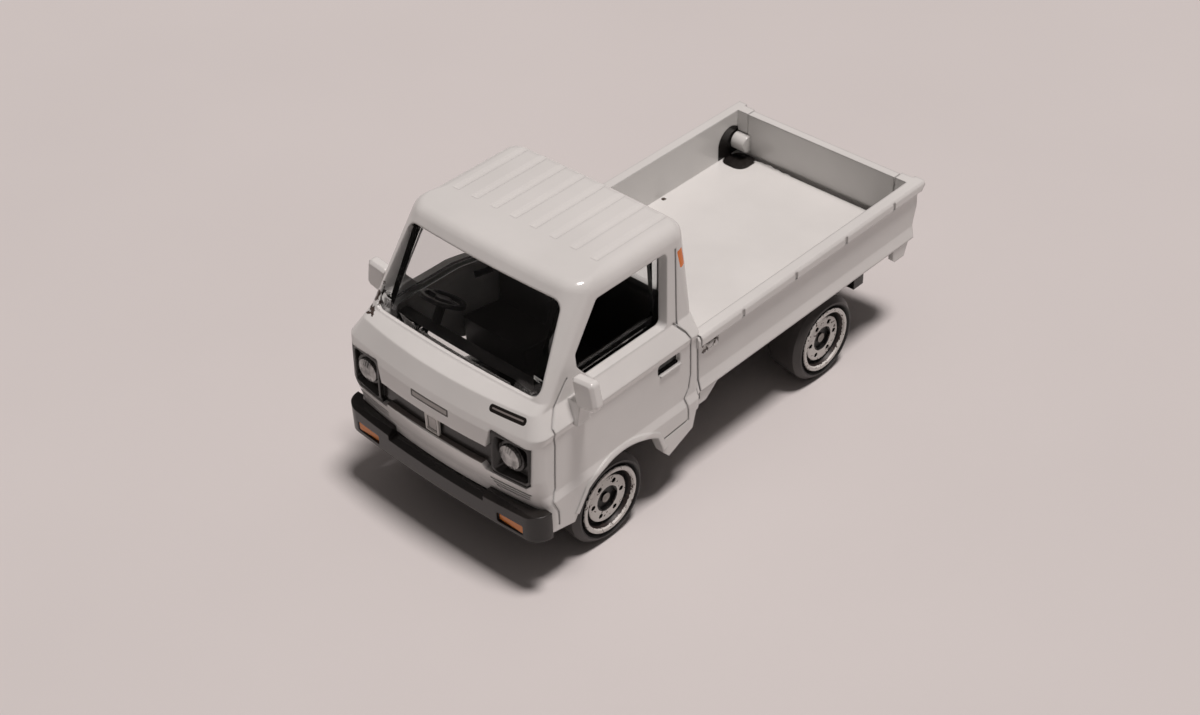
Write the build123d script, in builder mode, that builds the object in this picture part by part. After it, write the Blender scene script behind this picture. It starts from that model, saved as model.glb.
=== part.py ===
from build123d import *
from math import hypot
import os

os.makedirs("parts", exist_ok=True)

# Toy kei truck, about 1:55. Millimetres, +Z up, front towards -Y, the truck's left at +X.
# The origin is on the ground, under the middle of the truck's box.

# Overall sizes
half_length = 29.3
half_width = 12.65
wall = 1.0
fit = 0.05
play = 0.1

# Wheels and axles
front_axle_y = -18.5
rear_axle_y = 14.0
tyre_radius = 4.7
tyre_face_x = half_width - 0.5
tyre_width = 4.4
tread_width = 1.25
rim_radius = 3.5
dish_radius = 2.45
hub_radius = 1.35
wheel_hole_radius = 0.3
axle_radius = 0.5
press_gap = 0.01

# Cab, set back from the foremost line of the truck
cab_front_y = -half_length + 0.1
cab_rear_y = -6.0
cab_bottom_z = 6.6
ridge_z = 10.8
nose_z = 12.9
crease_z = 17.6
cowl_z = 19.4
sill_z = 20.05
roof_z = 29.4
roof_drop = 0.25
roof_round = 1.4
rear_corner = 0.9
roof_rear_corner = 2.0
nose_bow = 75.0
screen_bow = 150.0
screen_back = 3.1
screen_slope = 0.596

# Windows
screen_low_half = 10.75
screen_top_half = 9.6
screen_low_z = sill_z + 0.1
screen_top_z = 27.9
screen_corner = 1.0
side_window_low_z = 19.55
side_window_top_z = 27.4
rear_window_half = 7.8
rear_window_low_z = 20.6
rear_window_top_z = 27.0
pane_depth = 0.25
glass = 0.7

# Front: bezels, grille strip, lenses and bumper
grille_half = 6.9
grille_low_z = 12.85
grille_top_z = 15.0
grille_depth = 0.6
bezel_outer_x = half_width - 0.8
bezel_inner_x = 7.4
bezel_low_z = 12.05
bezel_top_z = 17.2
bezel_proud = 0.15
lamp_panel = 0.7
lens_x = (bezel_inner_x + bezel_outer_x) / 2 - 0.2
lens_z = (bezel_low_z + bezel_top_z) / 2 + 0.2
lens_radius = 1.2
lens_depth = 1.0
funnel_floor_y = cab_front_y + 1.7
funnel_width = 3.0
funnel_height = 3.3
funnel_flare = 0.75
barrel_radius = 1.55
barrel_depth = 0.5
bumper_half = half_width + 0.45
bumper_bow = 160.0
bumper_corner = 1.8
bumper_low_z = 6.6
bumper_top_z = 9.55
bumper_middle_half = 6.4
bumper_end_y = cab_front_y + 2.2
signal_x = 9.6
signal_z = 7.55
valance_z = 8.9

# Roof grooves, cut by rods laid along the truck
groove_pitch = 2.5
groove_count = 8
groove_rod_radius = 0.75
groove_depth = 0.16
groove_front_y = -16.05
groove_rear_y = cab_rear_y - 0.6

# Panel lines and the door handle
line_width = 0.2
line_depth = 0.15
vent_rows = 3
vent_pitch = 0.42
vent_length = 4.6
vent_x = 9.15
vent_z = 11.2
handle_length = 3.1
handle_height = 1.25
handle_depth = 0.45
handle_z = 16.15

# Mirrors
mirror_front_y = cab_front_y + 6.3
mirror_depth = 1.3
mirror_edge = 0.3

# Load bed
bed_half = half_width - 0.25
bed_inner_half = bed_half - 1.1
rail_z = 16.85
floor_z = 11.8
skirt_z = 10.3
fold_z = 11.6
post_width = 1.4
post_depth = 1.2
bed_end_y = half_length
sill_low_z = 9.3
dimple_count = 4
dimple_pitch = 8.0

# Tailgate and its hinge
gate_outer_y = bed_end_y - 0.6
gate_inner_y = gate_outer_y - 1.0
gate_low_z = floor_z + 0.2
hinge_y = gate_inner_y - 0.25
hinge_z = 13.3
lug_radius = 1.0
lug_width = 1.8
pin_radius = 0.4
pocket_depth = 0.45
pocket_radius = 2.0
pocket_y = hinge_y - 1.0

# Chassis base
base_plate_z = 7.0
base_plate = 1.0
base_half = 7.5
base_front_y = cab_front_y + 3.7
base_rear_y = gate_inner_y - 0.7
sump_low_z = 3.0
sump_half = 4.5
carrier_width = 3.2
rivet_radius = 1.0
rivet_rear_y = 21.0
rivet_front_y = -3.0
rivet_head_z = 2.7

# Interior and steering wheel
seat_width = 8.4
seat_x = 5.2
dash_top_z = 18.8
dash_half = half_width - 2.7
column_radius = 0.45
column_length = 2.8
steering_x = -6.0
steering_y = cab_front_y + 8.5
steering_z = 20.2
steering_tilt = 30
steering_radius = 2.2
steering_thickness = 0.4

# Values that follow from the ones above
post_inner_half = bed_inner_half - post_width
post_front_y = gate_inner_y + fit
floor_rear_y = gate_inner_y - 0.5
tyre_rear_x = tyre_face_x - tyre_width
carrier_half = tyre_rear_x - play
hole_half = post_inner_half - 1.9
hole_front_y = pocket_y - 2.0
plate_top_z = base_plate_z + base_plate
arch_front = (front_axle_y - 3.3, 8.8)
arch_top = (front_axle_y + 1.3, 10.25)
arch_rear = (front_axle_y + 6.1, 8.7)

# Plan outlines of the cab: height, set back, bow of the front, set in from the side, corner radius
cab_levels = [
    (cab_bottom_z - 2.6, 1.1, nose_bow, 0.1, 1.5),
    (ridge_z - 0.9, 0.85, nose_bow, 0.0, 1.5),
    (ridge_z, 0.55, nose_bow, 0.25, 1.5),
    (nose_z, 0.0, nose_bow, 0.27, 1.5),
    (crease_z - 0.8, 0.2, nose_bow, 0.25, 1.5),
    (crease_z, 0.45, nose_bow, 0.0, 1.5),
    (cowl_z, 1.4, nose_bow - 15, 1.15, 1.1),
    (sill_z, screen_back, screen_bow, 1.2, 1.0),
    (roof_z + 0.1, screen_back + screen_slope * (roof_z + 0.1 - sill_z), screen_bow, 1.7, 2.6),
]
# Levels kept by the smoother inside of the cab
inner_levels = [0, 3, 4, 6, 7, 8]


def cab_form(inset):
    """Outside of the cab, drawn in by the inset: rounded plan outlines joined level by level
    under a crowned roof with rounded edges. The inside skips the folds of the outside."""
    levels = cab_levels if inset < wall else [cab_levels[index] for index in inner_levels]
    slopes = []
    for low, high in zip(levels, levels[1:]):
        run = high[1] - low[1]
        rise = high[0] - low[0]
        slopes.append((rise / hypot(run, rise), -run / hypot(run, rise)))
    # Each level moves square to the front profile, and the last one down from the roof as well
    before = [slopes[0]] + slopes
    after = slopes + [(0, -1)]
    with BuildPart() as form:
        for (z, back, bow, side_in, corner), (y1, z1), (y2, z2) in zip(levels, before, after):
            reach = inset / (1 + y1 * y2 + z1 * z2)
            front = cab_front_y + back + reach * (y1 + y2)
            half = half_width - side_in - inset
            radius = bow - inset
            shoulder = front + radius - (radius**2 - half**2) ** 0.5
            rear = cab_rear_y - inset
            rear_radius = rear_corner if z < roof_z else roof_rear_corner
            with BuildSketch(Plane.XY.offset(z + reach * (z1 + z2))):
                with BuildLine():
                    ThreePointArc((-half, shoulder), (0, front), (half, shoulder))
                    Polyline((half, shoulder), (half, rear), (-half, rear), (-half, shoulder))
                make_face()
                fillet(vertices().group_by(Axis.Y)[0], max(corner - inset, 0.3))
                fillet(vertices().group_by(Axis.Y)[-1], max(rear_radius - inset, 0.3))
        loft(ruled=True)
        with BuildSketch(Plane.XZ):
            with BuildLine():
                wide = half_width + 1
                edge = roof_z - inset - roof_drop
                ThreePointArc((-wide, edge), (0, roof_z - inset), (wide, edge))
                Polyline((wide, edge), (wide, 0), (-wide, 0), (-wide, edge))
            make_face()
        extrude(amount=2 * half_length, both=True, mode=Mode.INTERSECT)
        fillet(form.faces().sort_by(Axis.Z)[-1].edges(), max(roof_round - inset, 0.3))
    return form.part


def roof_height(x):
    """Height of the crowned roof at a distance from the middle."""
    return roof_z - roof_drop * (x / (half_width + 1)) ** 2


def screen_prism(gap):
    """Prism through the windscreen opening, smaller all round by the gap."""
    with BuildPart() as prism:
        with BuildSketch(Plane.XZ.offset(-cab_front_y - 11)):
            with BuildLine():
                Polyline(
                    (-screen_low_half + gap, screen_low_z + gap),
                    (screen_low_half - gap, screen_low_z + gap),
                    (screen_top_half - gap, screen_top_z - gap),
                    (-screen_top_half + gap, screen_top_z - gap),
                    close=True,
                )
            make_face()
            fillet(vertices(), screen_corner)
        extrude(amount=20)
    return prism.part


def lamp_prism(gap):
    """Prism through the opening for the bezels and the strip between them, smaller by the gap."""
    outline = [
        (grille_half, grille_top_z),
        (bezel_inner_x, bezel_top_z),
        (bezel_outer_x, bezel_top_z - 0.45),
        (bezel_outer_x - 0.1, bezel_low_z + 0.6),
        (bezel_outer_x - 0.7, bezel_low_z),
        (grille_half - 0.3, bezel_low_z + 0.15),
        (grille_half - 0.6, grille_low_z),
    ]
    with BuildPart() as prism:
        with BuildSketch(Plane.XZ.offset(-cab_front_y - 5)):
            with BuildLine():
                Polyline(outline + [(-x, z) for x, z in reversed(outline)], close=True)
            make_face()
            fillet(vertices().group_by(Axis.Y)[-1], 0.4)
            if gap:
                offset(amount=-gap, kind=Kind.INTERSECTION)
        extrude(amount=8)
    return prism.part


def side_block(points, half):
    """Block with a side-view outline, across the truck out to the half width on both sides."""
    with BuildPart() as block:
        with BuildSketch(Plane.YZ):
            with BuildLine():
                Polyline(points, close=True)
            make_face()
        extrude(amount=half, both=True)
    return block.part


def corner_keeper(gap, low_z, high_z):
    """Rounded upright block in the rear left corner of the bed, smaller all round by the gap."""
    with BuildPart() as keeper:
        with BuildSketch(Plane.XY.offset(low_z)):
            with Locations(((hole_half + bed_inner_half) / 2, (hole_front_y + post_front_y) / 2)):
                RectangleRounded(
                    bed_inner_half - hole_half - 2 * gap,
                    post_front_y - hole_front_y - 2 * gap,
                    1.2 - gap,
                )
        extrude(amount=high_z - low_z)
    return keeper.part


outer = cab_form(0)
inner = cab_form(wall)
lining = cab_form(wall + fit)

# Thin grooves that mark the doors, the cab's rear edge and the vents, on both sides
door_front = [
    (cab_front_y + 6.6, 21.4),
    (cab_front_y + 3.5, 18.0),
    (cab_front_y + 3.7, 16.0),
    (cab_front_y + 3.4, 11.2),
    (cab_front_y + 2.85, 10.0),
    (cab_front_y + 3.5, 8.5),
    (cab_front_y + 3.5, cab_bottom_z + 0.3),
]
door_rear = [
    (cab_rear_y - 2.9, side_window_low_z),
    (cab_rear_y - 1.9, 18.3),
    (cab_rear_y - 1.45, 17.0),
    (cab_rear_y - 1.45, 13.2),
    (cab_rear_y - 1.75, 11.7),
    (cab_rear_y - 2.4, ridge_z),
    (cab_rear_y - 2.05, 9.35),
    (cab_rear_y - 2.05, 8.2),
    (front_axle_y + 6.5, 7.95),
]
frame_line = [(cab_rear_y - 2.0, side_window_top_z - 0.2), (cab_rear_y - 2.4, side_window_low_z - 0.4)]
with BuildPart() as lines:
    for points, width in ((door_front, line_width), (door_rear, line_width), (frame_line, line_width)):
        with BuildSketch(Plane.YZ):
            with BuildLine() as path:
                Polyline(points)
            trace(path.line, width)
        extrude(amount=half_width + 1, both=True)
    add(
        side_block([(cab_front_y, 0), (0, 0), (0, roof_z), (cab_front_y, roof_z)], half_width - 2),
        mode=Mode.SUBTRACT,
    )
    for row in range(vent_rows):
        with BuildSketch(Plane.XZ.offset(-cab_front_y - 5)):
            for side in (-1, 1):
                with Locations((side * vent_x, vent_z - row * vent_pitch)):
                    Rectangle(vent_length - row * vent_pitch, line_width)
        extrude(amount=6)
with BuildPart() as grooves:
    add(outer)
    add(cab_form(line_depth), mode=Mode.SUBTRACT)
    add(lines.part, mode=Mode.INTERSECT)

# Raised lip round the front wheel arches
with BuildPart() as arch_lip:
    with BuildSketch(Plane.YZ):
        with BuildLine() as arch:
            Polyline((front_axle_y - 4.7, cab_bottom_z), arch_front)
            ThreePointArc(arch_front, arch_top, arch_rear)
            Polyline(arch_rear, (front_axle_y + 6.9, cab_bottom_z))
        trace(arch.line, 1.1)
    extrude(amount=half_width + 5, both=True)
    add(cab_form(-0.12), mode=Mode.INTERSECT)
    add(cab_form(wall / 2), mode=Mode.SUBTRACT)

# Load bed with its side walls, rear posts and the hinge pockets of the tailgate
with BuildPart() as bed:
    # Load bed, one section pushed along the truck
    with BuildSketch(Plane.XZ.offset(-bed_end_y)):
        with BuildLine():
            half = [
                (bed_half + 0.1, skirt_z),
                (bed_half - 0.25, fold_z),
                (bed_half - 0.3, 15.4),
                (bed_half + 0.2, 15.8),
                (bed_half + 0.2, rail_z - 0.3),
                (bed_half, rail_z),
                (bed_inner_half, rail_z),
                (bed_inner_half, floor_z),
            ]
            under = [
                (bed_inner_half, skirt_z),
                (bed_inner_half, floor_z - wall),
            ]
            Polyline(half + [(-x, z) for x, z in reversed(half)])
            Polyline([half[0]] + under + [(-x, z) for x, z in reversed([half[0]] + under)])
        make_face()
    extrude(amount=bed_end_y - cab_rear_y + wall / 2)
    # Apron between the cab and the bed
    with BuildSketch(Plane.YZ.offset(bed_inner_half)):
        with BuildLine():
            Polyline(
                (cab_rear_y - 0.9, 8.7),
                (cab_rear_y + 0.9, 8.7),
                (cab_rear_y + 2.9, skirt_z),
                (cab_rear_y + 2.9, skirt_z + 0.8),
                (cab_rear_y - 0.9, skirt_z + 0.8),
                close=True,
            )
        make_face()
    extrude(amount=bed_half - 0.1 - bed_inner_half)
    mirror(about=Plane.YZ)
    # Rear corner posts
    with BuildSketch(Plane.XY.offset(skirt_z)):
        for side in (-1, 1):
            with Locations((side * (bed_inner_half - post_width / 2 + 0.25), post_front_y + post_depth / 2)):
                Rectangle(post_width + 0.5, post_depth)
    extrude(amount=rail_z - skirt_z)
    # Rear sill below the gate
    with BuildSketch(Plane.XY.offset(sill_low_z)):
        with Locations((0, gate_outer_y - 0.45)):
            Rectangle(2 * bed_inner_half + 0.5, 0.7)
    extrude(amount=gate_low_z - 0.4 - sill_low_z)
    # Slot between the floor's rear edge and the gate
    with BuildSketch(Plane.XY.offset(rail_z + 1)):
        with Locations((0, (floor_rear_y + gate_inner_y + 0.2) / 2)):
            Rectangle(2 * post_inner_half, gate_inner_y + 0.2 - floor_rear_y)
    extrude(amount=-8, mode=Mode.SUBTRACT)
    # Corner holes of the floor
    keeper_hole = corner_keeper(0, floor_z - 3, floor_z + 1)
    add(keeper_hole, mode=Mode.SUBTRACT)
    add(keeper_hole.mirror(Plane.YZ), mode=Mode.SUBTRACT)
    for side in (-1, 1):
        # Arch-topped pocket beside the hinge, open below for the base's keeper plate
        with BuildSketch(Plane.YZ.offset(side * (bed_inner_half - press_gap))):
            with Locations((pocket_y, hinge_z)):
                Circle(pocket_radius)
            with Locations((pocket_y, hinge_z - 3)):
                Rectangle(2 * pocket_radius, 6)
        extrude(amount=side * (pocket_depth + press_gap), mode=Mode.SUBTRACT)
        # Room for the gate's lug in the post
        with BuildSketch(Plane.YZ.offset(side * (post_inner_half - play))):
            with Locations((hinge_y, hinge_z)):
                Circle(lug_radius + play)
        extrude(amount=side * (bed_inner_half - post_inner_half + play), mode=Mode.SUBTRACT)
        # Dimples of the rail
        with BuildSketch(Plane.YZ.offset(side * (bed_half + 0.06))):
            with Locations((dimple_pitch * 1.5, 16.2)):
                with GridLocations(dimple_pitch, 1, dimple_count, 1):
                    Rectangle(0.4, 0.8)
        extrude(amount=side, mode=Mode.SUBTRACT)
        # Latch plate behind the cab
        with BuildSketch(Plane.YZ.offset(side * (bed_half - 0.5))):
            with Locations((cab_rear_y + 1.85, 14.85)):
                Rectangle(1.5, 0.75)
        extrude(amount=side * 0.45)
        # Rear beam's end, a tab that hangs below the skirt
        with BuildSketch(Plane.YZ.offset(side * (bed_inner_half + pocket_depth + fit))):
            with BuildLine():
                Polyline(
                    (bed_end_y - 4.5, skirt_z + 0.3),
                    (bed_end_y - 4.5, skirt_z - 1.3),
                    (bed_end_y - 4.1, skirt_z - 1.7),
                    (bed_end_y - 2.5, skirt_z - 1.7),
                    (bed_end_y - 1.7, skirt_z + 0.3),
                    close=True,
                )
            make_face()
        extrude(amount=side * 0.55)
        # Gap line between the cab and the bed
        with BuildSketch(Plane.YZ.offset(side * (bed_half - 0.55))):
            with Locations((cab_rear_y - 0.1, (skirt_z + rail_z) / 2)):
                Rectangle(line_width, rail_z - skirt_z + 2)
        extrude(amount=side * 2, mode=Mode.SUBTRACT)
    # The rear end of the bed follows a bent line in side view
    add(
        side_block(
            [
                (bed_end_y + 2, rail_z - 0.6),
                (bed_end_y - 0.1, rail_z - 0.6),
                (bed_end_y - 0.55, rail_z - 1.2),
                (bed_end_y - 0.5, 13.8),
                (bed_end_y - 1.0, 12.1),
                (bed_end_y - 1.2, skirt_z - 0.1),
                (bed_end_y + 2, skirt_z - 0.1),
            ],
            half_width + 5,
        ),
        mode=Mode.SUBTRACT,
    )
    # Rivet posts under the bed floor
    with BuildSketch(Plane.XY.offset(floor_z - wall)):
        with Locations((0, rivet_rear_y), (0, rivet_front_y)):
            Circle(rivet_radius + 0.6)
    extrude(amount=-(floor_z - wall - plate_top_z))
    with BuildSketch(Plane.XY.offset(plate_top_z)):
        with Locations((0, rivet_rear_y), (0, rivet_front_y)):
            Circle(rivet_radius)
    extrude(amount=-(plate_top_z - rivet_head_z))

# The body is one thin-walled casting: hollow cab, open load bed and the two mirrors.
with BuildPart() as body:
    add(outer)
    add(inner, mode=Mode.SUBTRACT)
    add(arch_lip.part)
    # Lower outline of the cab in side view, with the wheel arch and the stepped sill
    with BuildSketch(Plane.YZ):
        with BuildLine():
            Polyline(
                (cab_front_y - 3, -1),
                (cab_front_y - 3, cab_bottom_z),
                (cab_front_y + 3.3, cab_bottom_z - 0.2),
                (front_axle_y - 5.2, cab_bottom_z - 0.7),
                arch_front,
            )
            ThreePointArc(arch_front, arch_top, arch_rear)
            Polyline(
                arch_rear,
                (front_axle_y + 7.0, 6.2),
                (front_axle_y + 7.7, 5.4),
                (cab_rear_y - 1.4, 6.8),
                (cab_rear_y - 0.9, 8.7),
                (cab_rear_y, 8.7),
                (cab_rear_y, -1),
                (cab_front_y - 3, -1),
            )
        make_face()
    extrude(amount=half_width + 5, both=True, mode=Mode.SUBTRACT)
    # The bumper's tie passes under the front
    with BuildSketch(Plane.XY):
        with Locations((0, cab_front_y - 1)):
            Rectangle(2 * half_width - 2.3, 8)
    extrude(amount=valance_z, mode=Mode.SUBTRACT)
    add(screen_prism(0), mode=Mode.SUBTRACT)
    add(lamp_prism(0), mode=Mode.SUBTRACT)
    # Side windows, open through both doors
    with BuildSketch(Plane.YZ):
        with BuildLine():
            Polyline(
                (cab_front_y + 9.6, side_window_low_z),
                (cab_front_y + 7.85, 21.8),
                (cab_front_y + 7.8, 23.2),
                (cab_front_y + 10.9, side_window_top_z),
                (cab_rear_y - 3.1, side_window_top_z),
                (cab_rear_y - 3.7, side_window_low_z),
                close=True,
            )
        make_face()
        fillet(vertices(), 0.6)
    extrude(amount=half_width + 5, both=True, mode=Mode.SUBTRACT)
    # Rear window
    with BuildSketch(Plane.XZ.offset(-cab_rear_y - 0.5)):
        with Locations((0, (rear_window_low_z + rear_window_top_z) / 2)):
            RectangleRounded(2 * rear_window_half, rear_window_top_z - rear_window_low_z, 0.8)
    extrude(amount=3, mode=Mode.SUBTRACT)
    # Roof grooves, which follow the crown
    with BuildSketch(Plane.XZ.offset(-groove_rear_y)):
        for index in range(groove_count):
            x = (index - (groove_count - 1) / 2) * groove_pitch
            with Locations((x, roof_height(x) - groove_depth + groove_rod_radius)):
                RegularPolygon(groove_rod_radius, 12, major_radius=False, rotation=15)
    extrude(amount=groove_rear_y - groove_front_y, mode=Mode.SUBTRACT)
    add(grooves.part, mode=Mode.SUBTRACT)
    for side in (-1, 1):
        # Door handle's recess, with a lip below it
        with BuildSketch(Plane.YZ.offset(side * (half_width - 0.25 - handle_depth))):
            with Locations((cab_rear_y - 4.45, handle_z)):
                RectangleRounded(handle_length, handle_height, 0.4)
        extrude(amount=side * 2, mode=Mode.SUBTRACT)
        with BuildSketch(Plane.YZ.offset(side * (half_width - 0.6))):
            with Locations((cab_rear_y - 4.3, handle_z - handle_height / 2 - 0.1)):
                Rectangle(handle_length - 0.3, 0.2)
        extrude(amount=side * 0.5)
    add(bed.part)

# Mirrors, tapered blocks on short feet at the front corners of the doors
with BuildPart() as mirror_block:
    with BuildSketch(Plane.XZ.offset(-mirror_front_y - mirror_depth)):
        with BuildLine():
            Polyline(
                (half_width - 0.65, 21.95),
                (half_width + 1.85, 22.25),
                (half_width + 2.3, 19.8),
                (half_width + 1.95, 19.2),
                (half_width - 0.15, 18.8),
                close=True,
            )
        make_face()
        fillet(vertices(), 0.45)
    extrude(amount=mirror_depth)
    chamfer(faces().filter_by(Axis.Y).edges(), mirror_edge)
with BuildPart() as mirror_foot:
    with BuildSketch(Plane.YZ.offset(half_width - 1.2)):
        with BuildLine():
            Polyline(
                (mirror_front_y - 0.4, 17.2),
                (mirror_front_y + 1.3, 17.2),
                (mirror_front_y + 1.1, 19.4),
                (mirror_front_y + 0.1, 19.4),
                close=True,
            )
        make_face()
    extrude(amount=1.6)
with body:
    for piece in (mirror_block.part, mirror_foot.part):
        add(piece)
        add(piece.mirror(Plane.YZ))
    # The feet stay outside the door
    add(cab_form(wall), mode=Mode.SUBTRACT)
body.part.label = "body"

# Clear window unit: windscreen, roof web and rear window in one moulding.
with BuildPart() as pane:
    add(cab_form(pane_depth))
    add(screen_prism(fit), mode=Mode.INTERSECT)
with BuildPart() as windows:
    add(lining)
    add(
        side_block(
            [(cab_front_y, cowl_z), (0, cowl_z), (0, roof_z), (cab_front_y, roof_z)],
            half_width - 2.7,
        ),
        mode=Mode.INTERSECT,
    )
    add(pane.part)
    add(cab_form(wall + fit + glass), mode=Mode.SUBTRACT)
windows.part.label = "window_unit"

# Lamp panel of the base: it lines the front and fills the opening with bezels and grille strip.
with BuildPart() as panel:
    add(lining)
    add(cab_form(wall + fit + lamp_panel), mode=Mode.SUBTRACT)
    add(
        side_block(
            [
                (cab_front_y - 1, base_plate_z + 0.2),
                (cab_front_y + 4, base_plate_z + 0.2),
                (cab_front_y + 4, crease_z - 0.2),
                (cab_front_y - 1, crease_z - 0.2),
            ],
            bezel_outer_x - 0.6,
        ),
        mode=Mode.INTERSECT,
    )
with BuildPart() as bezels:
    add(cab_form(bezel_proud))
    add(cab_form(wall + fit + lamp_panel / 2), mode=Mode.SUBTRACT)
    add(lamp_prism(fit), mode=Mode.INTERSECT)
with BuildPart() as strip_recess:
    add(outer)
    add(cab_form(grille_depth), mode=Mode.SUBTRACT)
    add(
        side_block([(cab_front_y - 1, 0), (0, 0), (0, roof_z), (cab_front_y - 1, roof_z)], bezel_inner_x),
        mode=Mode.INTERSECT,
    )

# Bumper: nearly straight, with rounded corners, low in the middle and with chamfered raised ends
with BuildPart() as bumper:
    with BuildSketch(Plane.XY.offset(bumper_low_z)):
        with BuildLine():
            corner_y = -half_length + bumper_bow - (bumper_bow**2 - bumper_half**2) ** 0.5
            ThreePointArc((-bumper_half, corner_y), (0, -half_length), (bumper_half, corner_y))
            Polyline(
                (bumper_half, corner_y),
                (bumper_half, bumper_end_y),
                (-bumper_half, bumper_end_y),
                (-bumper_half, corner_y),
            )
        make_face()
        fillet(vertices().group_by(Axis.Y)[0], bumper_corner)
    extrude(amount=bumper_top_z - bumper_low_z)
    # Chamfer along the whole front, then the lower shelf of the middle
    for half, rise, low_z in (
        (bumper_half + 1, 1.2, bumper_top_z - 1.2),
        (bumper_middle_half, 0.65, bumper_top_z - 1.4),
    ):
        add(
            side_block(
                [
                    (-half_length - 0.7, low_z),
                    (-half_length + 0.7, low_z + rise),
                    (-half_length + 2, low_z + rise + 0.2),
                    (-half_length + 2, bumper_top_z + 1),
                    (-half_length - 0.7, bumper_top_z + 1),
                ],
                half,
            ),
            mode=Mode.SUBTRACT,
        )
    # Shallow recesses for the signals
    with BuildSketch(Plane.XZ.offset(half_length - 0.45)):
        with Locations((signal_x, signal_z), (-signal_x, signal_z)):
            RectangleRounded(3.2, 1.05, 0.2)
    extrude(amount=2, mode=Mode.SUBTRACT)
    add(cab_form(-fit), mode=Mode.SUBTRACT)

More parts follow.
